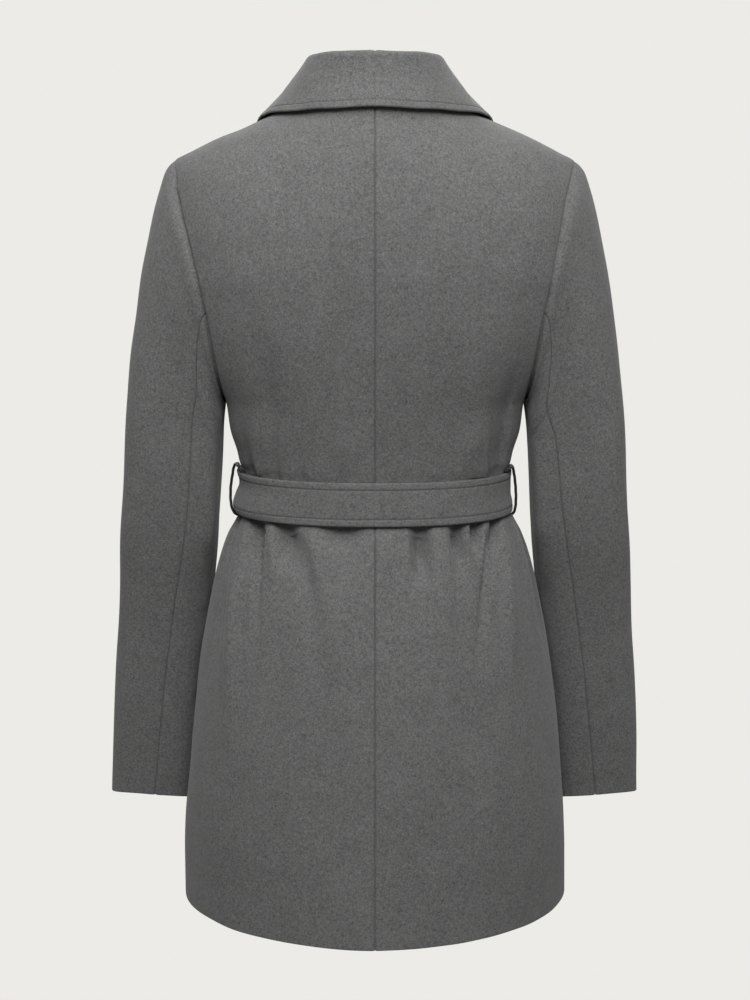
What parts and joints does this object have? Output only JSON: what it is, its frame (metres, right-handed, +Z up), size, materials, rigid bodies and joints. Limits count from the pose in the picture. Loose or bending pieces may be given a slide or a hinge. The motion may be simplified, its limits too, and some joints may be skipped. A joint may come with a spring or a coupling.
{
  "type": "wrap coat",
  "caption": "Thigh-length wool wrap coat with a fold-over shawl collar, seamed sleeves and a knotted tie belt in side carriers, filled out as it hangs when worn.",
  "frame": {"origin": "middle of the neck opening, level with the two points where the shoulder seams meet the collar", "axes": "+Z up, +X to the wearer's left, the fronts face -Y and the back faces +Y"},
  "size_m": [0.5584, 0.3017, 0.8441],
  "materials": {
    "wool": "matt mid-grey wool melange with a short felted nap",
    "carrier_thread": "near-black cord-like cloth strip, matt"
  },
  "bodies": {
    "root": {"back_left": "wool", "back_right": "wool", "front_left": "wool", "front_right": "wool", "collar_left": "wool", "collar_right": "wool", "sleeve_left_upper": "wool", "sleeve_left_under": "wool", "sleeve_right_upper": "wool", "sleeve_right_under": "wool", "belt_band": "wool", "belt_knot": "wool", "belt_end_left": "wool", "belt_end_right": "wool", "carrier_left": "carrier_thread", "carrier_right": "carrier_thread"}
  },
  "joints": []
}
